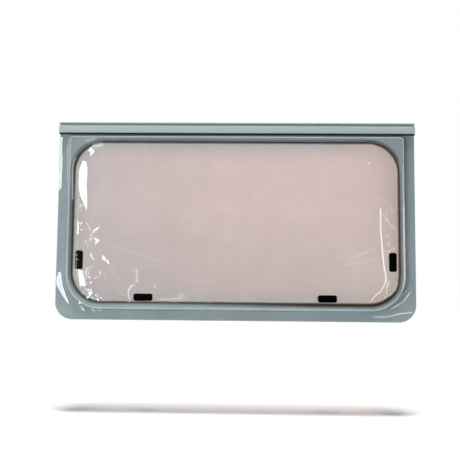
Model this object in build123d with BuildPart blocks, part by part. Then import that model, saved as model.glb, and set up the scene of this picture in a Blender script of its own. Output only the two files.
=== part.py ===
"""Top-hung caravan window with two acrylic skins, a grey border, a hinge rail and four turn latches.

Millimetres, +Z up. The outside faces -Y and y = 0 is the wall's outer face. The origin lies on the back of the
border's top flange, behind the middle of the hinge rail.
"""

import os

from build123d import *

# Overall size
window_width = 900.0
window_height = 500.0
fit_gap = 0.3

# Hinge rail: a band with a hook above it that ends in a bead
rail_band = 18.6
rail_groove = 5.2
rail_bead = 4.0
rail_wall = 2.0
rail_front = 15.0
rail_crown = 0.8
rail_round = 3.0
neck_width = 2.0
bead_reach = 5.5

# Rubber strip under the band
gasket_space = 3.8
gasket_front = 11.8
gasket_round = 1.3
gasket_stem = 2.0
gasket_head = 4.0
gasket_drop = gasket_space - 2 * fit_gap
slot_width = gasket_stem + 2 * fit_gap

# Grey border: heights are measured forward from the wall face
flange_thickness = 4.5
flange_bevel = 2.0
flange_corner = 44.0
ridge_inset = 28.3
ridge_height = 14.0
ridge_run = 5.0
ridge_corner = 84.0
ridge_top_corner = 5.0
ridge_round = 1.6
side_crest = 2.0
top_crest = 3.6
bottom_crest = 5.5
frame_wall = 3.0
trough_depth = 6.0

# Opening of the border and the lip that holds the panes
dish_width = 8.2
opening_corner = 78.0
lip_front = 8.5
lip_back = 4.0
lip_land = 8.0

# Panes, joined at their rims
rim_width = 6.0
seal_width = 2.0
seal_height = 2.2
outer_thickness = 3.0
shoulder_run = 10.0
shoulder_round = 24.0
dome_height = 13.0
bond_thickness = 1.0
inner_thickness = 2.2
tray_depth = 22.0
tray_flare = 1.0
tray_run = 1.0
tray_bevel = 2.0

# Latches
latch_length = 48.0
latch_width = 18.5
latch_corner = 3.5
bottom_latch_inset = 56.5
bottom_latch_spread = 233.5
side_latch_inset = 50.8
side_latch_height = 150.3
base_height = 8.5
base_bevel = 1.0
base_recess = 1.2
base_rim = 2.4
pivot_from_end = 11.0
running_gap = 0.4
bore_gap = 0.05
screw_radius = 3.0
screw_depth = 5.0
screw_head_radius = 5.5
screw_head = 2.2
lever_width = 16.0
lever_tip_width = 11.0
lever_tip_bevel = 2.5
lever_top = 16.5
lever_waist = 13.5
lever_nose = 2.2
grip_grooves = 3
grip_depth = 0.8
hub_floor = 3.8

# Derived levels, from the origin at the middle of the band
half_width = window_width / 2
band_top = rail_band / 2
band_bottom = -rail_band / 2
rail_top = band_top + rail_groove + rail_bead
bottom_edge = rail_top - window_height
frame_top = band_top - rail_wall - fit_gap
ridge_top = band_bottom - gasket_space - ridge_run
ridge_bottom = bottom_edge + ridge_inset
opening_top = ridge_top - top_crest - dish_width
opening_bottom = ridge_bottom + bottom_crest + dish_width
opening_half = half_width - ridge_inset - side_crest - dish_width
rim_back = lip_back - outer_thickness
tray_front = rim_back - bond_thickness
bevel_growth = 2 - 2 ** 0.5


def front(height):
    """Plane parallel to the wall, a height in front of its outer face."""
    return Plane.XZ.offset(height)


def border_outline(half, bottom, top, lower_corner):
    """Rectangle with two rounded lower corners, drawn in the current sketch."""
    with Locations((0, (bottom + top) / 2)):
        Rectangle(2 * half, top - bottom)
    fillet(vertices().group_by(Axis.Y)[0], lower_corner)


def ridge_outline(grow):
    """Ridge of the border, grown outward, drawn in the current sketch."""
    border_outline(
        half_width - ridge_inset + grow,
        ridge_bottom - grow,
        ridge_top + grow,
        ridge_corner + grow,
    )
    chamfer(vertices().group_by(Axis.Y)[-1], ridge_top_corner + bevel_growth * grow)


def opening_outline(grow, mode=Mode.ADD):
    """Opening of the border, grown outward, drawn in the current sketch."""
    wide = 2 * (opening_half + grow)
    high = opening_top - opening_bottom + 2 * grow
    with Locations((0, (opening_bottom + opening_top) / 2)):
        RectangleRounded(wide, high, opening_corner + grow, mode=mode)


def opening_ring(outside, inside):
    """Ring around the opening between two growths, drawn in the current sketch."""
    opening_outline(outside)
    opening_outline(inside, Mode.SUBTRACT)


# Hinge rail, extruded along the top edge
with BuildPart() as hinge_rail:
    with BuildSketch(Plane.YZ) as rail_section:
        with BuildLine():
            back = Polyline(
                (-rail_front, band_bottom),
                (-flange_thickness, band_bottom),
                (-flange_thickness, frame_top + fit_gap),
                (-fit_gap, frame_top + fit_gap),
                (-fit_gap, band_top),
                (-rail_front, band_top),
            )
            ThreePointArc(back @ 1, (-rail_front - rail_crown, 0), back @ 0)
        make_face()
        fillet(rail_section.vertices().group_by(Axis.X)[0], rail_round)
        neck_height = rail_groove + rail_bead + rail_wall / 2
        with Locations((-flange_thickness - neck_width / 2, rail_top - neck_height / 2)):
            Rectangle(neck_width, neck_height)
        with Locations((-flange_thickness - bead_reach / 2, rail_top - neck_width / 2)):
            Rectangle(bead_reach, neck_width)
        hook_back = rail_section.vertices().sort_by_distance((-flange_thickness, rail_top))[0]
        fillet(hook_back, neck_width)
        with Locations((-flange_thickness - bead_reach, rail_top - rail_bead / 2)):
            Circle(rail_bead / 2)
        chamber_depth = rail_front - flange_thickness - 2 * rail_wall
        chamber_y = -flange_thickness - rail_wall - chamber_depth / 2
        with Locations((chamber_y, 0)):
            RectangleRounded(chamber_depth, rail_band - 2 * rail_wall, rail_wall / 2, mode=Mode.SUBTRACT)
        with Locations((chamber_y, band_bottom + rail_wall / 2)):
            Rectangle(slot_width, 2 * rail_wall, mode=Mode.SUBTRACT)
    extrude(amount=half_width, both=True)
hinge_rail.part.label = "hinge_rail"

# Rubber strip, held in the rail's slot by its stem and head
with BuildPart() as rail_gasket:
    with BuildSketch(Plane.YZ) as gasket_section:
        gasket_back = flange_thickness + fit_gap
        with Locations((-(gasket_back + gasket_front) / 2, band_bottom - gasket_drop / 2)):
            Rectangle(gasket_front - gasket_back, gasket_drop)
        fillet(gasket_section.vertices().group_by(Axis.Y)[0], gasket_round)
        with Locations((chamber_y, band_bottom + rail_wall / 2)):
            Rectangle(gasket_stem, rail_wall + 2 * fit_gap)
        with Locations((chamber_y, band_bottom + rail_wall + fit_gap + gasket_stem / 2)):
            Trapezoid(gasket_head, gasket_stem, 60)
    extrude(amount=half_width, both=True)
rail_gasket.part.label = "rail_gasket"

# Hollow behind the ridge, left open at the back
with BuildPart() as trough:
    with BuildSketch(front(0)):
        ridge_outline(ridge_run - frame_wall)
    with BuildSketch(front(trough_depth)):
        ridge_outline(ridge_run * (1 - trough_depth / ridge_height) - frame_wall)
    loft(ruled=True)
    with BuildSketch(front(0)):
        opening_outline(lip_land)
    extrude(amount=trough_depth, mode=Mode.SUBTRACT)

# Grey border: flange, raised ridge and a dished slope down to the opening
with BuildPart() as outer_frame:
    with BuildSketch(front(0)):
        border_outline(half_width, bottom_edge, frame_top, flange_corner)
    extrude(amount=flange_thickness)
    flange_edges = outer_frame.faces().sort_by(Axis.Y)[0].edges().sort_by(Axis.Z)
    chamfer(flange_edges[:-1], flange_bevel)
    with BuildSketch(front(flange_thickness)):
        ridge_outline(ridge_run)
    with BuildSketch(front(ridge_height)):
        ridge_outline(0)
    loft(ruled=True)
    fillet(outer_frame.faces().sort_by(Axis.Y)[0].edges(), ridge_round)
    with BuildSketch(front(ridge_height)):
        opening_outline(dish_width)
    with BuildSketch(front(lip_front)):
        opening_outline(0)
    loft(ruled=True, mode=Mode.SUBTRACT)
    with BuildSketch(front(0)):
        opening_outline(0)
    extrude(amount=ridge_height, mode=Mode.SUBTRACT)
    add(trough.part, mode=Mode.SUBTRACT)
    with BuildSketch(front(0)):
        opening_outline(lip_land)
    extrude(amount=lip_back, mode=Mode.SUBTRACT)
outer_frame.part.label = "outer_frame"

# Brown sealing bead in the groove between the border's lip and the pane
with BuildPart() as pane_seal:
    with BuildSketch(front(lip_back)):
        opening_ring(0, -seal_width)
    extrude(amount=seal_height)
pane_seal.part.label = "pane_seal"

# Outer pane: a bulged shell with a flat rim behind the border's lip
with BuildPart() as outer_pane:
    with BuildSketch(front(rim_back)):
        opening_outline(-seal_width)
    extrude(amount=outer_thickness)
    with BuildSketch(front(lip_back)):
        opening_outline(-seal_width)
    with BuildSketch(front(dome_height)):
        opening_outline(-seal_width - shoulder_run)
    loft(ruled=True)
    fillet(outer_pane.faces().sort_by(Axis.Y)[0].edges(), shoulder_round)
    offset(amount=-outer_thickness, openings=outer_pane.faces().sort_by(Axis.Y)[-1])
    with BuildSketch(front(rim_back)):
        opening_ring(rim_width, -seal_width - outer_thickness / 2)
    extrude(amount=outer_thickness)
outer_pane.part.label = "outer_pane"

# Adhesive strip between the rims of the two panes
with BuildPart() as bond_strip:
    with BuildSketch(front(tray_front)):
        opening_ring(rim_width - bond_thickness, 0)
    extrude(amount=bond_thickness)
bond_strip.part.label = "bond_strip"

# Inner pane: a tray with a flat rim, its floor towards the room
with BuildPart() as inner_pane:
    with BuildSketch(front(tray_front)):
        opening_outline(tray_flare)
    with BuildSketch(front(tray_front - tray_depth)):
        opening_outline(tray_flare - tray_run)
    loft(ruled=True)
    chamfer(inner_pane.faces().sort_by(Axis.Y)[-1].edges(), tray_bevel)
    offset(amount=-inner_thickness, openings=inner_pane.faces().sort_by(Axis.Y)[0])
    with BuildSketch(front(tray_front)):
        opening_ring(rim_width, tray_flare - inner_thickness / 2)
    extrude(amount=-inner_thickness)
inner_pane.part.label = "inner_pane"


def latch_base(plane, label):
    """Block on the inner pane with a recess underneath and a bore for the pivot screw."""
    pivot = (-latch_length / 2 + pivot_from_end, 0)
    with BuildPart() as base:
        with BuildSketch(plane) as footprint:
            Rectangle(latch_length, latch_width)
            chamfer(footprint.vertices(), latch_corner)
        extrude(amount=base_height)
        chamfer(base.faces().sort_by(Axis.Y)[-1].edges(), base_bevel)
        with BuildSketch(plane):
            Rectangle(latch_length - 2 * base_rim, latch_width - 2 * base_rim)
        extrude(amount=base_recess, mode=Mode.SUBTRACT)
        with BuildSketch(plane.offset(base_height)):
            with Locations(pivot):
                Circle(screw_radius + bore_gap)
        extrude(amount=-screw_depth - fit_gap, mode=Mode.SUBTRACT)
    base.part.label = label
    return base.part


def latch_lever(plane, label):
    """Turning lever: hub on the pivot, a waist, a grooved ramp for the finger and a nose under the tip."""
    pivot_x = -latch_length / 2 + pivot_from_end
    tip_x = latch_length / 2 - latch_corner / 2
    waist_x = pivot_x + lever_width * 1.2
    foot = base_height + running_gap
    side = Plane(plane.origin, x_dir=plane.x_dir, z_dir=-plane.y_dir)
    with BuildPart() as lever:
        with BuildSketch(side):
            with BuildLine():
                outline = Polyline(
                    (waist_x, lever_waist),
                    (pivot_x + lever_width / 2, lever_top),
                    (pivot_x - lever_width / 2, lever_top),
                    (pivot_x - lever_width / 2, foot),
                    (tip_x - lever_width / 2, foot),
                    (tip_x, foot + lever_nose),
                    (tip_x, lever_top - lever_nose),
                    (tip_x - lever_width / 4, lever_top),
                )
                ramp = Line(outline @ 1, outline @ 0)
            make_face()
            with Locations(*[ramp @ ((groove + 1) / (grip_grooves + 1)) for groove in range(grip_grooves)]):
                Rectangle(2 * grip_depth, 2 * grip_depth, rotation=45, mode=Mode.SUBTRACT)
        extrude(amount=lever_width / 2, both=True)
        with BuildSketch(plane) as lever_plan:
            with Locations((pivot_x, 0)):
                Circle(lever_width / 2)
            with Locations((tip_x - lever_tip_bevel, 0)):
                Rectangle(2 * lever_tip_bevel, lever_tip_width)
            make_hull()
            chamfer(lever_plan.vertices().group_by(Axis.X)[-1], lever_tip_bevel)
        extrude(amount=lever_top, mode=Mode.INTERSECT)
        with BuildSketch(plane.offset(foot)):
            with Locations((pivot_x, 0)):
                Circle(screw_radius + bore_gap)
        extrude(amount=lever_top, mode=Mode.SUBTRACT)
        with BuildSketch(plane.offset(foot + hub_floor)):
            with Locations((pivot_x, 0)):
                Circle(screw_head_radius + running_gap)
        extrude(amount=lever_top, mode=Mode.SUBTRACT)
    lever.part.label = label
    return lever.part


def latch_screw(plane, label):
    """Pivot screw: a plain shank through the lever into the base, and a round head that keeps the lever on."""
    pivot = (-latch_length / 2 + pivot_from_end, 0)
    seat = plane.offset(base_height + 2 * running_gap + hub_floor)
    with BuildPart() as screw:
        with BuildSketch(seat):
            with Locations(pivot):
                Circle(screw_radius)
        extrude(amount=-2 * running_gap - hub_floor - screw_depth)
        with BuildSketch(seat):
            with Locations(pivot):
                Circle(screw_head_radius)
        extrude(amount=screw_head)
    screw.part.label = label
    return screw.part


# Latch planes: on the inner pane's room side, local X from the pivot towards the lever's tip
pane_face = tray_depth - tray_front
low = bottom_edge + bottom_latch_inset
beside = half_width - side_latch_inset
side_level = bottom_edge + side_latch_height
latch_places = {
    "bottom_left": ((-bottom_latch_spread, pane_face, low), (1, 0, 0)),
    "bottom_right": ((bottom_latch_spread, pane_face, low), (-1, 0, 0)),
    "left": ((-beside, pane_face, side_level), (0, 0, -1)),
    "right": ((beside, pane_face, side_level), (0, 0, -1)),
}

pieces = [
    hinge_rail.part,
    rail_gasket.part,
    outer_frame.part,
    pane_seal.part,
    outer_pane.part,
    bond_strip.part,
    inner_pane.part,
]
for place, (centre, along) in latch_places.items():
    latch_plane = Plane(origin=centre, x_dir=along, z_dir=(0, 1, 0))
    pieces.append(latch_base(latch_plane, "latch_base_" + place))
    pieces.append(latch_lever(latch_plane, "latch_lever_" + place))
    pieces.append(latch_screw(latch_plane, "latch_screw_" + place))

os.makedirs("parts", exist_ok=True)
for piece in pieces:
    export_step(piece, os.path.join("parts", piece.label + ".step"))
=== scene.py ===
"""Looks of a top-hung caravan window: materials, protective film, screw heads, light and camera."""

import math
import random

import bmesh
import bpy
import numpy as np
from mathutils import Matrix, Vector
from mathutils.bvhtree import BVHTree


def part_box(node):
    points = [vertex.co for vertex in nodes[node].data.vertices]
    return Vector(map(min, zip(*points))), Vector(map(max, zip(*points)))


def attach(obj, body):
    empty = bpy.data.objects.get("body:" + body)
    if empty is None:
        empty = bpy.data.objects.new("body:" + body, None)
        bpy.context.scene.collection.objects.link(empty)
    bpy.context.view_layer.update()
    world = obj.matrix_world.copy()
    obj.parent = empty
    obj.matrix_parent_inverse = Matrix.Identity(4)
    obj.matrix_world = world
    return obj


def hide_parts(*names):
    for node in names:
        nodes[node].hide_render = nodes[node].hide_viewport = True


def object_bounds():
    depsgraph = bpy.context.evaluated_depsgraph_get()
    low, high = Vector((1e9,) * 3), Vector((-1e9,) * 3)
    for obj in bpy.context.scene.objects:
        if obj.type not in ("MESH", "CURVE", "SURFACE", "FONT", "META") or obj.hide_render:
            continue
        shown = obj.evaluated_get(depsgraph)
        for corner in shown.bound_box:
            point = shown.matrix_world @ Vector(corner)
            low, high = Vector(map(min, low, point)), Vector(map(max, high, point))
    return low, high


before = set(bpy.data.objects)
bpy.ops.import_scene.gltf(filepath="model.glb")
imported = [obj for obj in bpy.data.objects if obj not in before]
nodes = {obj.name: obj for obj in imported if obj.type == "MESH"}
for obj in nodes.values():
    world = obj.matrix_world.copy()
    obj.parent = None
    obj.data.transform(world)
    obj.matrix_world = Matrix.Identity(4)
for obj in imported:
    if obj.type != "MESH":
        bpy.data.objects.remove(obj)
cad_low, cad_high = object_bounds()
MM = 0.001

# Camera, and the softbox at the left that the loose film mirrors
CAMERA_AT = Vector((0.02981, -1.79046, -0.41413))
CAMERA_TURN = (1.659847, -0.009455, 0.023204)
SENSOR_WIDTH = 36
FOCAL_PIXELS = 714.02
IMAGE_PIXELS = 460
LEFT_BOX_AT = Vector((-3.6, -3.2, 0.3))

# Outlines that the shading follows: the clear opening and the ridge of the border
OPENING_CORNER = 78 * MM
RIDGE_CORNER = 84 * MM
RIDGE_INSET = 28.3 * MM
RIDGE_TOP = -18.1 * MM
opening_low, opening_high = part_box("pane_seal")
frame_low, frame_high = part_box("outer_frame")


def shader_tree(name):
    """New empty node material; returns it with its tree and its output node."""
    mat = bpy.data.materials.new(name)
    mat.use_nodes = True
    tree = mat.node_tree
    tree.nodes.clear()
    return mat, tree, tree.nodes.new("ShaderNodeOutputMaterial")


def feed(tree, socket, value):
    """Gives an input a value, or a link if the value is a socket."""
    if isinstance(value, bpy.types.NodeSocket):
        tree.links.new(value, socket)
    else:
        socket.default_value = value


def put(tree, kind, settings=None, **inputs):
    """Adds a node and feeds its named inputs."""
    made = tree.nodes.new("ShaderNode" + kind)
    for key, value in (settings or {}).items():
        setattr(made, key, value)
    for key, value in inputs.items():
        feed(tree, made.inputs[key.replace("_", " ")], value)
    return made


def calc(tree, operation, *values, kind="Math", output=0):
    """Adds a math node and feeds its inputs in order."""
    made = put(tree, kind, {"operation": operation})
    for socket, value in zip(made.inputs, values):
        feed(tree, socket, value)
    return made.outputs[output]


def vector_calc(tree, operation, *values, output="Vector"):
    """Adds a vector math node and feeds its inputs in order."""
    return calc(tree, operation, *values, kind="VectorMath", output=output)


def place(tree):
    """Coordinates of the part itself."""
    return put(tree, "TexCoord").outputs["Object"]


def axis(tree, name):
    """One coordinate of the part itself."""
    return put(tree, "SeparateXYZ", Vector=place(tree)).outputs[name]


def noise(tree, scale, stretch=(1, 1, 1), detail=3.0):
    """Noise in the part's own coordinates, stretched along the axes."""
    moved = put(tree, "Mapping", Vector=place(tree), Scale=stretch).outputs[0]
    return put(tree, "TexNoise", Vector=moved, Scale=scale, Detail=detail).outputs["Fac"]


def ramp(tree, fac, low, high, start=0.3, end=0.7):
    """Blends two colours by a factor between two stops."""
    made = put(tree, "ValToRGB", Fac=fac)
    first, last = made.color_ramp.elements
    first.position, first.color = start, (*low, 1)
    last.position, last.color = end, (*high, 1)
    return made.outputs[0]


def span(tree, value, low, high, start=0.0, end=1.0):
    """Maps a range of a value to another range, held at its ends."""
    mapped = put(tree, "MapRange", Value=value, From_Min=start, From_Max=end, To_Min=low, To_Max=high)
    return mapped.outputs[0]


def blend(tree, kind, fac, first, second):
    """Mixes two colours."""
    made = put(tree, "MixRGB", {"blend_type": kind}, Fac=fac)
    feed(tree, made.inputs[1], first)
    feed(tree, made.inputs[2], second)
    return made.outputs[0]


def mix_shaders(tree, fac, first, second):
    """Mixes two shaders."""
    made = put(tree, "MixShader", Fac=fac)
    feed(tree, made.inputs[1], first)
    feed(tree, made.inputs[2], second)
    return made.outputs[0]


def from_outline(tree, low, high, corner):
    """Distance from a rectangle with round corners, in metres, negative inside it."""
    straight = (high - low) / 2 - Vector((corner, 0, corner))
    moved = vector_calc(tree, "SUBTRACT", place(tree), (low + high) / 2)
    flat = vector_calc(tree, "MULTIPLY", moved, (1, 0, 1))
    past = vector_calc(tree, "SUBTRACT", vector_calc(tree, "ABSOLUTE", flat), straight)
    beyond = vector_calc(tree, "MAXIMUM", past, (0, 0, 0))
    return calc(tree, "SUBTRACT", vector_calc(tree, "LENGTH", beyond, output="Value"), corner)


def from_opening(tree):
    """Distance from the edge of the clear opening."""
    return from_outline(tree, opening_low, opening_high, OPENING_CORNER)


def from_ridge(tree):
    """Distance from the outer edge of the ridge, which has round corners only at its bottom."""
    low = frame_low + Vector((RIDGE_INSET, 0, RIDGE_INSET))
    # The outline reaches far above the window, so that its upper corners play no part
    sides = from_outline(tree, low, -low, RIDGE_CORNER)
    return calc(tree, "MAXIMUM", sides, calc(tree, "SUBTRACT", axis(tree, "Z"), RIDGE_TOP))


# Grain of the opaque materials: noise scale, depth and detail, and how much finer their roughness wanders
GRAIN = 700.0
GRAIN_DEPTH = 0.4 * MM
GRAIN_DETAIL = 2.0
FINER = 14


def coated(name, low, high, scale, rough, stretch=(1, 1, 1), bump=0.0, metal=0.0, shading_and_wear=None):
    """Opaque material whose colour and roughness wander a little; marks given with it, painted shade, shadow
    and highlight among them, work on its colour.
    """
    mat, tree, out = shader_tree(name)
    colour = ramp(tree, noise(tree, scale, stretch), low, high)
    if shading_and_wear:
        colour = shading_and_wear(tree, colour)
    fine = noise(tree, scale * FINER, stretch, GRAIN_DETAIL)
    body = put(
        tree,
        "BsdfPrincipled",
        Base_Color=colour,
        Roughness=span(tree, fine, rough[0], rough[1]),
        Metallic=metal,
    )
    if bump:
        grain = noise(tree, GRAIN, stretch, GRAIN_DETAIL)
        lift = put(tree, "Bump", Height=grain, Strength=bump, Distance=GRAIN_DEPTH)
        feed(tree, body.inputs["Normal"], lift.outputs[0])
    feed(tree, out.inputs[0], body.outputs[0])
    return mat


# Marks of the border, the seal and the rail, and their colours: painted shade with soiling by the seal and
# in the rail's groove, a painted shadow at the ridge's right foot, a painted crest highlight
SEAM_EDGE = 2.5 * MM
SEAM = (6 * MM, 10.5 * MM)
LOWER_RIGHT_SPREAD = (0.27, 0.63)
# Painted shade with soiling by the seal: a faint grey, and a deep brown towards the lower right
GRIME_AND_SHADE_FAINT = (0.62, 0.59, 0.57)
GRIME_AND_SHADE_DARK = (0.11, 0.075, 0.055)
SEAL_BROWN = (1, 0.78, 0.58, 1)
# Painted shadow of the ridge on the flange at its right foot: its reach, where it starts, and its tone
FOOT = 20 * MM
FOOT_RIGHT = (0.405, 0.42)
RIDGE_SHADOW_TONE = (0.72, 0.67, 0.64, 1)
# Painted highlight along the ridge's crest: its width, share and grey
CREST = 2.8 * MM
CREST_HIGHLIGHT_SHARE = 0.85
CREST_HIGHLIGHT_GREY = (0.42, 0.495, 0.5, 1)
# Painted shade with soiling inside the rail's groove: where it starts, and its tone
GROOVE_FRONT = -8.5 * MM
GROOVE_FLOOR = 9 * MM
GROOVE_SHADE_AND_DIRT = (0.7, 0.7, 0.69)
CLEAN = (1, 1, 1)
SOFT_EDGE = 0.7 * MM


def toward_lower_right(tree):
    """Rises from 0 to 1 towards the lower right corner of the window."""
    return span(tree, calc(tree, "SUBTRACT", axis(tree, "X"), axis(tree, "Z")), 0, 1, *LOWER_RIGHT_SPREAD)


def seal_stain(tree, colour):
    """Sealant that has turned browner at the lower right."""
    return blend(tree, "MULTIPLY", toward_lower_right(tree), colour, SEAL_BROWN)


def border_shade_and_wear(tree, colour):
    """Painted shade with soiling by the seal, most at the lower right; a painted shadow of the ridge at its
    right foot; a painted highlight along the crest.
    """
    lower_right = toward_lower_right(tree)
    # Painted shade with soiling by the seal, deeper and browner towards the lower right
    grime_and_shade = ramp(tree, lower_right, GRIME_AND_SHADE_FAINT, GRIME_AND_SHADE_DARK, 0, 1)
    reach = span(tree, lower_right, *SEAM)
    seam = span(tree, from_opening(tree), 1, 0, SEAM_EDGE, reach)
    shaded_by_seal = blend(tree, "MULTIPLY", seam, colour, grime_and_shade)
    # Painted shadow of the ridge on the flange at its right foot
    outside = span(tree, from_ridge(tree), 0, 1, 0, CREST)
    foot = calc(tree, "MULTIPLY", outside, span(tree, from_ridge(tree), 1, 0, 0, FOOT))
    right = span(tree, axis(tree, "X"), 0, 1, *FOOT_RIGHT)
    ridge_shadowed = blend(tree, "MULTIPLY", calc(tree, "MULTIPLY", foot, right), shaded_by_seal, RIDGE_SHADOW_TONE)
    # Painted highlight along the crest
    from_crest = calc(tree, "ABSOLUTE", calc(tree, "ADD", from_ridge(tree), CREST / 2))
    crest_highlight = span(tree, from_crest, CREST_HIGHLIGHT_SHARE, 0, CREST / 2 - SOFT_EDGE, CREST / 2 + SOFT_EDGE)
    return blend(tree, "MIX", crest_highlight, ridge_shadowed, CREST_HIGHLIGHT_GREY)


def groove_shade_and_dirt(tree, colour):
    """Painted shade with soiling inside the rail's groove."""
    behind = span(tree, axis(tree, "Y"), 0, 1, GROOVE_FRONT, GROOVE_FRONT + SOFT_EDGE)
    above = span(tree, axis(tree, "Z"), 0, 1, GROOVE_FLOOR, GROOVE_FLOOR + SOFT_EDGE)
    shade_and_dirt = ramp(tree, calc(tree, "MULTIPLY", behind, above), CLEAN, GROOVE_SHADE_AND_DIRT, 0, 1)
    return blend(tree, "MULTIPLY", 1.0, colour, shade_and_dirt)


# Clear sheets: colour of their shine and of the white painted glints on creases, and how mirroring grows at
# a flat angle
SHINE = (0.88, 0.98, 1, 1)
# White of the painted glints on the film's creases
GLINT_WHITE = (0.9, 0.91, 0.9, 1)
FACING_BLEND = 0.5
FACING_POWER = 5


def clear(name, tint, gloss, mirror, painted_glints=None):
    """Clear sheet that tints what is behind it, mirrors more at a flat angle and may carry white painted
    glints.
    """
    mat, tree, out = shader_tree(name)
    through = put(tree, "BsdfTransparent", Color=tint(tree)).outputs[0]
    shine = put(tree, "BsdfGlossy", Color=SHINE, Roughness=gloss(tree)).outputs[0]
    facing = put(tree, "LayerWeight", Blend=FACING_BLEND).outputs["Facing"]
    steep = calc(tree, "POWER", facing, FACING_POWER)
    sheet = mix_shaders(tree, mirror(tree, steep), through, shine)
    if painted_glints:
        # Painted glints: white on the film's creases
        white = put(tree, "BsdfDiffuse", Color=GLINT_WHITE).outputs[0]
        sheet = mix_shaders(tree, painted_glints(tree), sheet, white)
    feed(tree, out.inputs[0], sheet)
    return mat


# Tint of one face of a pane, so that two panes tint four times: colours, and where they change
BRONZE_GREYER = (0.897, 0.866, 0.863)
BRONZE = (0.923, 0.874, 0.862)
BRONZE_STOPS = (0.05, 0.5)
BRONZE_NOISE = 5
BRONZE_WANDER = 0.1
DUSK_DOWN = (-0.2, -0.4)
DUSK_MAUVE = (0.96, 0.971, 0.974)
DUSK_YELLOW = (0.975, 0.984, 0.978)
YELLOW_RIGHT = (0.22, 0.34)
RIGHT_SPREAD = (0.29, 0.41)
RIGHT_LOW_SHARE = 0.2
RIGHT_DEEPER = (0.962, 0.964, 0.952, 1)
# Shoulder of the pane: its reach, and its greys, a painted reflection of darker surroundings over a deeper
# tint
SHOULDER = 60 * MM
SHOULDER_POWER = 2
SHOULDER_REFLECTION_GREY = (0.82, 0.822, 0.82)
SHOULDER_REFLECTION_BEIGE = (0.838, 0.81, 0.79)
# Painted shade on the outer pane's rim beside the seal: where it lies, and its greys
RIM_EDGE = -2 * MM
RIM_REACH = 4 * MM
RIM_SHADE_GREY = (0.43, 0.38, 0.34)
RIM_SHADE_BROWN = (0.42, 0.335, 0.27)


def bronze(tree):
    """Tint of a face: greyer at its left, deeper at its bottom, yellower at its right, and greyer at its
    shoulder, where it is a painted reflection of darker surroundings over a deeper tint.
    """
    wander = span(tree, noise(tree, BRONZE_NOISE), -BRONZE_WANDER, BRONZE_WANDER)
    side = calc(tree, "ADD", span(tree, axis(tree, "X"), 0, 1, opening_low.x, opening_high.x), wander)
    middle = ramp(tree, side, BRONZE_GREYER, BRONZE, *BRONZE_STOPS)
    down = span(tree, axis(tree, "Z"), 0, 1, *DUSK_DOWN)
    higher = span(tree, axis(tree, "Z"), 1, RIGHT_LOW_SHARE, *DUSK_DOWN)
    right = calc(tree, "MULTIPLY", higher, span(tree, axis(tree, "X"), 0, 1, *RIGHT_SPREAD))
    yellow = span(tree, axis(tree, "X"), 0, 1, *YELLOW_RIGHT)
    dusk = ramp(tree, yellow, DUSK_MAUVE, DUSK_YELLOW, 0, 1)
    lower = blend(tree, "MULTIPLY", down, middle, dusk)
    deeper = blend(tree, "MULTIPLY", right, lower, RIGHT_DEEPER)
    # Painted reflection of darker surroundings on the shoulder, over a deeper tint
    near = calc(tree, "POWER", span(tree, from_opening(tree), 0, 1, -SHOULDER, 0), SHOULDER_POWER)
    shoulder = ramp(tree, yellow, SHOULDER_REFLECTION_GREY, SHOULDER_REFLECTION_BEIGE, 0, 1)
    return blend(tree, "MIX", near, deeper, shoulder)


def rim_shaded_bronze(tree):
    """Tint of one face of the outer pane, with painted shade by the seal at its rim, browner towards the
    lower right.
    """
    # Painted shade at the rim beside the seal
    rim = span(tree, from_opening(tree), 0, 1, RIM_EDGE - RIM_REACH, RIM_EDGE)
    shade = ramp(tree, toward_lower_right(tree), RIM_SHADE_GREY, RIM_SHADE_BROWN, 0, 1)
    return blend(tree, "MULTIPLY", rim, bronze(tree), shade)


# Gloss of the panes and the film; a pair of mirror shares is for looking straight on and along the sheet
PANE_NOISE = 40
PANE_ROUGH = (0.03, 0.07)
PANE_MIRROR = (0.007, 0.08)
CLINGING_ROUGH = 0.5
CLINGING_MIRROR = (0.007, 0.08)
LOOSE_ROUGH = 0.06
LOOSE_MIRROR = (0.042, 0.9)
# Haze of the film: its two greys and their stops, and the noise that makes them: scale, stretch and share
HAZE_DARK = (0.89, 0.89, 0.89)
HAZE_CLEAR = (0.945, 0.945, 0.945)
HAZE_STOPS = (0.25, 0.75)
HAZE_NOISE = 16
haze_marks = [
    (90, (1, 1, 1), 0.2),
    (70, (0.08, 1, 1), 0.12),
    (9, (1, 1, 0.12), 0.3),
]


def polished(tree):
    """Roughness of a clean pane."""
    return span(tree, noise(tree, PANE_NOISE), *PANE_ROUGH)


def pane_mirror(tree, steep):
    """Share of light that a pane mirrors."""
    return span(tree, steep, *PANE_MIRROR)


def slack(tree):
    """How far the film stands off: 0 where it clings to what is below, 1 on its loose facets."""
    return put(tree, "Attribute", {"attribute_name": "slack"}).outputs["Fac"]


def film_tint(tree):
    """Faint haze of the protective film, with fine marks, wiped streaks and upright bands in it."""
    haze = noise(tree, HAZE_NOISE)
    for scale, stretch, share in haze_marks:
        haze = calc(tree, "ADD", haze, span(tree, noise(tree, scale, stretch), -share, share))
    return ramp(tree, haze, HAZE_DARK, HAZE_CLEAR, *HAZE_STOPS)


def film_gloss(tree):
    """Roughness of the film: dull where it clings to what is below, polished where it stands off."""
    return span(tree, slack(tree), CLINGING_ROUGH, LOOSE_ROUGH)


def film_mirror(tree, steep):
    """Share of light that the film mirrors, little where it clings."""
    ends = [span(tree, slack(tree), *shares) for shares in zip(CLINGING_MIRROR, LOOSE_MIRROR)]
    return span(tree, steep, *ends)


def film_painted_glints(tree):
    """Sharp creases of the film, painted white as glints and reflections."""
    return put(tree, "Attribute", {"attribute_name": "glint_crease"}).outputs["Fac"]


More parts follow.
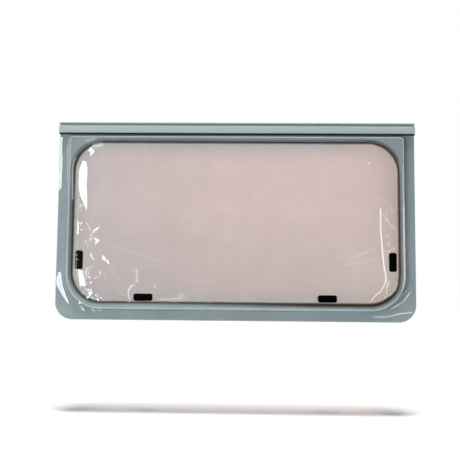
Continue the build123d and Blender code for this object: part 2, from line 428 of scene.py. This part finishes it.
border_grey = coated(
    "border_grey",
    low=(0.232, 0.288, 0.3),
    high=(0.25, 0.306, 0.318),
    scale=6.0,
    rough=(0.3, 0.4),
    bump=0.04,
    shading_and_wear=border_shade_and_wear,
)
rail_grey = coated(
    "rail_grey",
    low=(0.328, 0.394, 0.399),
    high=(0.35, 0.416, 0.421),
    scale=5.0,
    rough=(0.28, 0.38),
    stretch=(0.15, 1, 1),
    shading_and_wear=groove_shade_and_dirt,
)
black_rubber = coated(
    "black_rubber",
    low=(0.006, 0.006, 0.006),
    high=(0.012, 0.012, 0.012),
    scale=30.0,
    rough=(0.6, 0.75),
)
brown_sealant = coated(
    "brown_sealant",
    low=(0.05, 0.037, 0.028),
    high=(0.075, 0.057, 0.043),
    scale=25.0,
    rough=(0.45, 0.6),
    bump=0.2,
    shading_and_wear=seal_stain,
)
black_plastic = coated(
    "black_plastic",
    low=(0.034, 0.035, 0.034),
    high=(0.05, 0.051, 0.05),
    scale=40.0,
    rough=(0.35, 0.5),
    bump=0.2,
)
steel = coated(
    "steel",
    low=(0.45, 0.45, 0.45),
    high=(0.6, 0.6, 0.6),
    scale=60.0,
    rough=(0.25, 0.4),
    metal=1.0,
)
acrylic = clear("bronze_acrylic", rim_shaded_bronze, polished, pane_mirror)
inner_acrylic = clear("inner_acrylic", bronze, polished, pane_mirror)
film_clear = clear("film_clear", film_tint, film_gloss, film_mirror, film_painted_glints)

looks = {
    "hinge_rail": rail_grey,
    "rail_gasket": black_rubber,
    "outer_frame": border_grey,
    "pane_seal": brown_sealant,
    "outer_pane": acrylic,
    "bond_strip": brown_sealant,
    "inner_pane": inner_acrylic,
    "latch_base": black_plastic,
    "latch_lever": black_plastic,
    "latch_screw": steel,
}
LATCH_BEVEL = 0.4 * MM
LATCH_BEVEL_STEPS = 2
LATCH_BEVEL_ANGLE = math.radians(35)
for name, node in nodes.items():
    kind = next(key for key in looks if name.startswith(key))
    node.data.materials.clear()
    node.data.materials.append(looks[kind])
    if kind in ("latch_base", "latch_lever"):
        soften = node.modifiers.new("soft_edges", "BEVEL")
        soften.width = LATCH_BEVEL
        soften.segments = LATCH_BEVEL_STEPS
        soften.limit_method = "ANGLE"
        soften.angle_limit = LATCH_BEVEL_ANGLE


def new_piece(name, mesh, material, body):
    """Object of a finished mesh that rides on a body."""
    mesh.materials.clear()
    mesh.materials.append(material)
    made = bpy.data.objects.new(name, mesh)
    bpy.context.scene.collection.objects.link(made)
    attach(made, body)
    return made


# Pivot screws of the latches, with a cross recess in a rounded head
SCREW_SIDES = 48
SCREW_HEAD = 2.2 * MM
SCREW_SHANK = 3 * MM
SCREW_WELD = 0.01 * MM
SCREW_SHARP = math.radians(30)
HEAD_ROUND = 0.8 * MM
HEAD_ROUND_STEP = 0.3 * HEAD_ROUND
RECESS_REACH = 3 * MM
RECESS_HALF = 0.6 * MM
RECESS_DEPTH = 1.4 * MM


def screw_body(radius, length):
    """Turned screw along Y, its head's top at the origin."""
    profile = [
        (0, -length),
        (SCREW_SHANK, -length),
        (SCREW_SHANK, -SCREW_HEAD),
        (radius, -SCREW_HEAD),
        (radius, -HEAD_ROUND),
        (radius - HEAD_ROUND_STEP, -HEAD_ROUND_STEP),
        (radius - HEAD_ROUND, 0),
        (0, 0),
    ]
    turned = bmesh.new()
    points = [turned.verts.new((x, y, 0)) for x, y in profile]
    edges = [turned.edges.new(pair) for pair in zip(points, points[1:])]
    bmesh.ops.spin(
        turned, geom=points + edges, axis=(0, 1, 0), cent=(0, 0, 0), angle=2 * math.pi, steps=SCREW_SIDES
    )
    bmesh.ops.remove_doubles(turned, verts=turned.verts, dist=SCREW_WELD)
    bmesh.ops.recalc_face_normals(turned, faces=turned.faces)
    return turned


def cross_cutter():
    """Prism with a cross for its section, sunk into the top of a screw's head."""
    near, far = RECESS_HALF, RECESS_REACH
    arm = [Vector((near, 0, near)), Vector((near, 0, far)), Vector((-near, 0, far))]
    cutter = bmesh.new()
    corners = []
    for quarter in range(4):
        turn = Matrix.Rotation(-quarter * math.pi / 2, 3, "Y")
        corners += [cutter.verts.new(turn @ point + Vector((0, -RECESS_DEPTH, 0))) for point in arm]
    floor_face = cutter.faces.new(corners)
    raised = bmesh.ops.extrude_face_region(cutter, geom=[floor_face])["geom"]
    tops = [part for part in raised if isinstance(part, bmesh.types.BMVert)]
    bmesh.ops.translate(cutter, verts=tops, vec=(0, 2 * RECESS_DEPTH, 0))
    bmesh.ops.recalc_face_normals(cutter, faces=cutter.faces)
    return cutter


def as_object(name, form):
    """Object of a finished form, linked to the scene."""
    mesh = bpy.data.meshes.new(name)
    form.to_mesh(mesh)
    form.free()
    made = bpy.data.objects.new(name, mesh)
    bpy.context.scene.collection.objects.link(made)
    return made


def screw_mesh(name, radius, length):
    """Mesh of a screw with its recess cut."""
    whole = as_object(name, screw_body(radius, length))
    cutter = as_object(name + "_cutter", cross_cutter())
    cut = whole.modifiers.new("recess", "BOOLEAN")
    cut.operation = "DIFFERENCE"
    cut.object = cutter
    bpy.context.view_layer.update()
    mesh = bpy.data.meshes.new_from_object(whole.evaluated_get(bpy.context.evaluated_depsgraph_get()))
    bpy.data.objects.remove(whole)
    bpy.data.objects.remove(cutter)
    mesh.shade_smooth()
    mesh.set_sharp_from_angle(angle=SCREW_SHARP)
    return mesh


for name in [name for name in nodes if name.startswith("latch_screw")]:
    low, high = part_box(name)
    mesh = screw_mesh("cross_" + name, (high.x - low.x) / 2, high.y - low.y)
    mesh.transform(Matrix.Translation(((low.x + high.x) / 2, high.y, (low.z + high.z) / 2)))
    screw = new_piece("cross_" + name, mesh, steel, "window")
    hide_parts(name)


# Protective film over the border and the pane, below the rail
FILM_STEP = 1.85 * MM
FILM_CALM_STEP = 6 * MM
FILM_CALM = 150 * MM
FILM_LIFT = 0.25 * MM
FILM_MARGIN = 1.5 * MM
FILM_CORNER = 42.5 * MM
FILM_SAG_STEPS = 10
FILM_SHARP = math.radians(8)
SLACK_EDGE = FILM_STEP / 4
FOLD_SIDE = 1.2
FACET_GROW = 1.0 * MM
CREASE_RISE = 0.4 * MM
film_half = frame_high.x - FILM_MARGIN
film_bottom = frame_low.z + FILM_MARGIN
film_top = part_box("rail_gasket")[0].z - FILM_MARGIN
scene_graph = bpy.context.evaluated_depsgraph_get()
carrier_names = ("outer_frame", "pane_seal", "outer_pane")
carriers = [BVHTree.FromObject(nodes[name], scene_graph) for name in carrier_names]
# Farther than anything in the part, in metres
FAR = 1.0


def surface_height(x, z):
    """How far the border or the pane stands in front of the wall at a place."""
    hits = [tree.ray_cast(Vector((x, -FAR, z)), Vector((0, 1, 0)))[0] for tree in carriers]
    return max(-hit.y for hit in hits if hit)


def film_half_at(z):
    """Half of the film's width at a level; its lower corners are round."""
    above = min(z - film_bottom, FILM_CORNER)
    return film_half - FILM_CORNER + math.sqrt(FILM_CORNER ** 2 - (FILM_CORNER - above) ** 2)


# Loose facets of the film that catch the light from the left: corners in mm, seen from outside
facets = [
    [(-388, -80), (-376, -86), (-372, -211), (-393, -170), (-396, -144), (-396, -111)],
    [(-378, -57), (-367, -46), (-357, -57), (-367, -70)],
    [(-393, -356), (-380, -360), (-369, -396), (-386, -401)],
    [(-335, -248), (-348, -253), (-359, -263), (-358, -267), (-348, -259)],
    [(-352, -275), (-339, -285), (-350, -293)],
    [(-329, -321), (-332, -330), (-308, -346)],
    [(-369, -417), (-358, -406), (-352, -416), (-360, -425)],
    [(-347, -428), (-339, -430), (-340, -435), (-346, -434)],
    [(-335, -432), (-327, -433), (-330, -437)],
    [(-363, -318), (-360, -318), (-351, -333), (-354, -333)],
    [(-396, -238), (-393, -238), (-394, -268), (-398, -268)],
    [(-448, -19), (-443, -19), (-441, -145), (-448, -158)],
    [(-386, -447), (-372, -460), (-377, -461), (-386, -452)],
    [(-356, -454), (-347, -461), (-352, -461)],
]
# A curved facet at the lower left corner of the border, in straight-sided pieces that share one plane
crescent = [
    [(-441, -361), (-437, -366), (-432, -390), (-443, -404), (-448, -396), (-448, -378)],
    [(-433, -390), (-426, -411), (-434, -417), (-443, -403)],
    [(-426, -411), (-418, -429), (-424, -432), (-434, -417)],
    [(-418, -429), (-409, -448), (-424, -432)],
]
# Fields of small shards: middle and spread in mm, how many, and their least and greatest reach in mm
shard_fields = [
    ((-388, -225), (8, 34), 14, (1.4, 3.2)),
    ((-372, -385), (12, 22), 14, (2, 4.5)),
    ((-354, -424), (12, 6), 7, (2.2, 4.5)),
]
SHARD_SEED = 5
SHARD_SKEW = 0.5
SHARD_TALL = 1.5
# Fields of short scuff marks and painted glints, in white: middle and spread in mm, how many, and how strong
scuff_glint_fields = [
    ((-305, -385), (40, 28), 34, 0.6),
    ((-372, -300), (14, 60), 22, 1.0),
    ((380, -250), (6, 28), 36, 0.9),
]
SCUFF_GLINT_SEED = 8
SCUFF_GLINT_REACH = (2, 7)
SCUFF_GLINT_HALF_WIDTH = (0.8, 1.4)
SCUFF_GLINT_STRENGTH = (0.2, 0.55)
# Creases painted white as glints and reflections: points in mm, half width in mm and strength
glint_lines = [
    ([(362, -200), (362, -250), (366, -310), (370, -348)], 1.4, 1.0),
    ([(370, -348), (374, -370), (373, -383)], 2.0, 0.65),
    ([(373, -383), (361, -405), (349, -414), (337, -428)], 1.4, 0.6),
    ([(382, -380), (375, -399), (377, -414), (370, -422)], 1.3, 0.5),
    ([(402, -385), (397, -400), (383, -415)], 1.8, 0.5),
    ([(368, -213), (388, -242)], 1.3, 0.35),
    ([(426, -402), (407, -421)], 1.2, 0.45),
    ([(434, -408), (417, -430), (387, -448)], 1.3, 0.6),
    ([(345, -468), (376, -468), (407, -460), (439, -456)], 1.4, 0.6),
    ([(-251, -395), (-260, -400), (-265, -410), (-263, -422), (-261, -436)], 1.4, 0.6),
    ([(-245, -357), (-244, -385)], 3.0, 0.25),
    ([(-365, -352), (-372, -358), (-370, -370), (-372, -381)], 1.5, 0.45),
    ([(-376, -401), (-365, -412)], 1.4, 0.45),
    ([(-336, -361), (-337, -369)], 2.2, 0.35),
    ([(-379, -238), (-371, -243), (-364, -257)], 1.3, 0.35),
    ([(-359, -265), (-365, -284), (-353, -277)], 1.5, 0.35),
    ([(-336, -288), (-263, -310), (-174, -337)], 1.2, 0.12),
    ([(276, -328), (345, -302)], 1.2, 0.18),
    ([(268, -343), (345, -325)], 1.2, 0.16),
    ([(-407, -73), (-412, -87), (-414, -105), (-413, -144), (-412, -179)], 1.3, 0.5),
    ([(-361, -42), (-343, -39)], 5.5, 0.4),
    ([(-377, -31), (-361, -27)], 4.5, 0.22),
    ([(335, -83), (334, -86)], 1.4, 0.6),
    ([(-385, -449), (-374, -460)], 1.5, 0.5),
    ([(-355, -454), (-348, -460)], 1.5, 0.45),
    ([(-339, -457), (-332, -459)], 1.5, 0.4),
    ([(-199, -395), (-199, -400)], 1.6, 0.4),
    ([(-185, -430), (-154, -430)], 1.8, 0.35),
    ([(-150, -431), (-130, -421)], 6.0, 0.22),
    ([(420, -195), (420, -277), (421, -339), (421, -381), (416, -398)], 2.0, 0.5),
    ([(-428, -36), (-426, -130)], 1.8, 0.35),
]


def shards():
    """Small triangles scattered over the shard fields."""
    draw = random.Random(SHARD_SEED)
    made = []
    for (mid_x, mid_z), (wide, high), count, reaches in shard_fields:
        for _ in range(count):
            x = draw.gauss(mid_x, wide)
            z = draw.gauss(mid_z, high)
            turn = draw.uniform(0, math.tau)
            corners = [
                turn + corner * math.tau / 3 + draw.uniform(-SHARD_SKEW, SHARD_SKEW) for corner in range(3)
            ]
            reach = draw.uniform(*reaches)
            made.append([(x + reach * math.cos(c), z + SHARD_TALL * reach * math.sin(c)) for c in corners])
    return made


def scuff_glints():
    """Short white scuff marks and painted glints scattered over their fields, as creases."""
    draw = random.Random(SCUFF_GLINT_SEED)
    made = []
    for (mid_x, mid_z), (wide, high), count, strong in scuff_glint_fields:
        for _ in range(count):
            x = draw.gauss(mid_x, wide)
            z = draw.gauss(mid_z, high)
            turn = draw.uniform(0, math.pi)
            reach = draw.uniform(*SCUFF_GLINT_REACH)
            end = (x + reach * math.cos(turn), z + reach * math.sin(turn))
            half_width = draw.uniform(*SCUFF_GLINT_HALF_WIDTH)
            made.append(([(x, z), end], half_width, strong * draw.uniform(*SCUFF_GLINT_STRENGTH)))
    return made


def bright_slope(x, z):
    """Slope along X of an upright facet that sends the light of the tall left softbox to the camera."""
    spot = Vector((x, -surface_height(x, z), z))
    normal = (CAMERA_AT - spot).normalized() + (LEFT_BOX_AT - spot).normalized()
    return normal.x / normal.y


def outside_of(xs, zs, corners):
    """Distance of every film point outside a straight-sided outline, grown a little."""
    middle = sum(corners, Vector((0, 0))) / len(corners)
    reach = max((corner - middle).length for corner in corners)
    outside = np.hypot(xs - middle.x, zs - middle.y) - reach - FACET_GROW
    for first, second in zip(corners, corners[1:] + corners[:1]):
        along = (second - first).normalized()
        out = Vector((along.y, -along.x))
        if (middle - first).dot(out) > 0:
            out = -out
        outside = np.maximum(outside, (xs - first.x) * out.x + (zs - first.y) * out.y - FACET_GROW)
    return outside


def facet_heights(xs, zs, outlines):
    """Height of a flat facet with steep sides at every film point, and the distance outside it."""
    pieces = [[Vector(corner) * MM for corner in outline] for outline in outlines]
    corners = sum(pieces, [])
    slope = bright_slope(*sum(corners, Vector((0, 0))) / len(corners))
    base = max(surface_height(*corner) + FILM_LIFT - slope * corner.x for corner in corners)
    outside = np.min([outside_of(xs, zs, piece) for piece in pieces], axis=0)
    return base + slope * xs - FOLD_SIDE * np.maximum(outside, 0), outside


def line_distance(xs, zs, points):
    """Distance of every film point from a line through points."""
    nearest = np.full(xs.shape, FAR)
    spots = [Vector(point) * MM for point in points]
    for first, second in zip(spots, spots[1:]):
        length = (second - first).length
        along = (second - first) / length
        t = np.clip((xs - first.x) * along.x + (zs - first.y) * along.y, 0, length)
        nearest = np.minimum(nearest, np.hypot(xs - first.x - along.x * t, zs - first.y - along.y * t))
    return nearest


def film_grid():
    """Places of the film's points: fine at both sides and coarse in its calm middle."""
    columns = np.concatenate([
        np.arange(-film_half, -FILM_CALM, FILM_STEP),
        np.arange(-FILM_CALM, FILM_CALM, FILM_CALM_STEP),
        np.arange(FILM_CALM, film_half - FILM_STEP / 2, FILM_STEP),
        [film_half],
    ])
    levels = np.linspace(film_bottom, film_top, round((film_top - film_bottom) / FILM_STEP) + 1)
    xs = np.array([columns / film_half * film_half_at(z) for z in levels])
    return xs, np.repeat(levels[:, None], len(columns), axis=1)


def film_mesh():
    """The film as a taut skin over the surfaces below it, with its loose facets and creases painted white as
    glints.
    """
    xs, zs = film_grid()
    ground = np.array([[surface_height(x, z) for x, z in zip(*line)] for line in zip(xs, zs)]) + FILM_LIFT
    height = ground.copy()
    for _ in range(FILM_SAG_STEPS):
        middle = (height[:-2, 1:-1] + height[2:, 1:-1] + height[1:-1, :-2] + height[1:-1, 2:]) / 4
        height[1:-1, 1:-1] = np.maximum(ground[1:-1, 1:-1], middle)
    slack = np.zeros(xs.shape)
    for outlines in [crescent] + [[outline] for outline in facets + shards()]:
        facet, outside = facet_heights(xs, zs, outlines)
        slack[(facet > height) & (outside < SLACK_EDGE)] = 1
        height = np.maximum(height, facet)
    # White painted glints along the creases
    glint_crease = np.zeros(xs.shape)
    for points, half_width, strength in glint_lines + scuff_glints():
        away = line_distance(xs, zs, points) / (half_width * MM)
        glint_crease = np.maximum(glint_crease, strength * np.exp(-away ** 2))
    height += CREASE_RISE * glint_crease
    rows, columns = xs.shape
    spots = np.stack([xs, -height, zs], axis=-1).reshape(-1, 3)
    index = np.arange(rows * columns).reshape(rows, columns)
    corners = [index[:-1, :-1], index[:-1, 1:], index[1:, 1:], index[1:, :-1]]
    quads = np.stack(corners, axis=-1).reshape(-1, 4)
    mesh = bpy.data.meshes.new("protective_film")
    mesh.from_pydata(spots.tolist(), [], quads.tolist())
    mesh.shade_smooth()
    mesh.set_sharp_from_angle(angle=FILM_SHARP)
    for name, values in (("slack", slack), ("glint_crease", glint_crease)):
        mesh.attributes.new(name, "FLOAT", "POINT").data.foreach_set("value", values.ravel())
    return mesh


film = new_piece("protective_film", film_mesh(), film_clear, "window")

# Stage: a pale floor under the window and a white surround for the camera
FLOOR_DROP = 0.235
FLOOR_SIZE = 60
FLOOR_FRONT = 0.8
SKY_COLOUR = (0.95, 0.98, 1.0, 1)
SKY_LIGHT = 0.1
WHITE = (1, 1, 1, 1)
BACKDROP_DIM = 0.06
BACKDROP_EDGE = 0.2
floor_level = cad_low.z - FLOOR_DROP
bpy.ops.mesh.primitive_plane_add(size=FLOOR_SIZE, location=(0, FLOOR_SIZE / 2 - FLOOR_FRONT, floor_level))
floor = bpy.context.object
floor.name = "floor"
floor_white = coated(
    "floor_white",
    low=(0.87, 0.87, 0.87),
    high=(0.89, 0.89, 0.89),
    scale=1.0,
    rough=(0.8, 0.9),
)
floor.data.materials.append(floor_white)
floor.visible_glossy = False

world = bpy.data.worlds.new("studio")
bpy.context.scene.world = world
world.use_nodes = True
sky = world.node_tree
sky.nodes.clear()
path = put(sky, "LightPath").outputs
toward = put(sky, "SeparateXYZ", Vector=put(sky, "TexCoord").outputs["Generated"]).outputs["Y"]
backdrop = span(sky, toward, BACKDROP_DIM, 1.0, -BACKDROP_EDGE, BACKDROP_EDGE)
white = calc(sky, "MAXIMUM", path["Is Camera Ray"], backdrop)
lit = put(sky, "Background", Color=SKY_COLOUR, Strength=SKY_LIGHT)
seen = put(sky, "Background", Color=WHITE, Strength=white)
direct = calc(sky, "MAXIMUM", path["Is Camera Ray"], path["Is Transmission Ray"])
shown = calc(sky, "MAXIMUM", direct, path["Is Glossy Ray"])
feed(sky, put(sky, "OutputWorld").inputs[0], mix_shaders(sky, shown, lit.outputs[0], seen.outputs[0]))


def area_light(name, place_at, target, size, power):
    """Rectangular softbox aimed at a point, not seen by the camera itself."""
    data = bpy.data.lights.new(name, "AREA")
    data.shape = "RECTANGLE"
    data.size, data.size_y = size
    data.energy = power
    made = bpy.data.objects.new(name, data)
    made.location = place_at
    made.rotation_euler = (Vector(target) - Vector(place_at)).to_track_quat("-Z", "Y").to_euler()
    made.visible_camera = False
    bpy.context.scene.collection.objects.link(made)
    return made


# Lamps: sizes in metres and powers in watts; for the sun watts a square metre, softness and lean
LEFT_BOX_SIZE = (1.0, 2.2)
LEFT_BOX_POWER = 106
FRONT_FILL_AT = (-0.3, -3.0, -0.3)
FRONT_FILL_SIZE = (2.0, 1.6)
FRONT_FILL_POWER = 40
SUN_POWER = 3.5
SUN_SOFTNESS = math.radians(13)
SUN_LEAN = math.radians(13)
aim = (cad_low + cad_high) / 2
area_light("left_box", LEFT_BOX_AT, aim, LEFT_BOX_SIZE, LEFT_BOX_POWER)
front_fill = area_light("front_fill", FRONT_FILL_AT, aim, FRONT_FILL_SIZE, FRONT_FILL_POWER)
front_fill.visible_glossy = False
sun_data = bpy.data.lights.new("overhead", "SUN")
sun_data.energy = SUN_POWER
sun_data.angle = SUN_SOFTNESS
sun = bpy.data.objects.new("overhead", sun_data)
sun.rotation_euler = (SUN_LEAN, 0, 0)
sun.visible_glossy = False
bpy.context.scene.collection.objects.link(sun)

# Camera, a little below the middle of the window
camera_data = bpy.data.cameras.new("camera")
camera_data.sensor_width = SENSOR_WIDTH
camera_data.lens = SENSOR_WIDTH * FOCAL_PIXELS / IMAGE_PIXELS
camera = bpy.data.objects.new("camera", camera_data)
camera.location = CAMERA_AT
camera.rotation_euler = CAMERA_TURN
bpy.context.scene.collection.objects.link(camera)
bpy.context.scene.camera = camera

bpy.context.scene.view_settings.view_transform = "Standard"
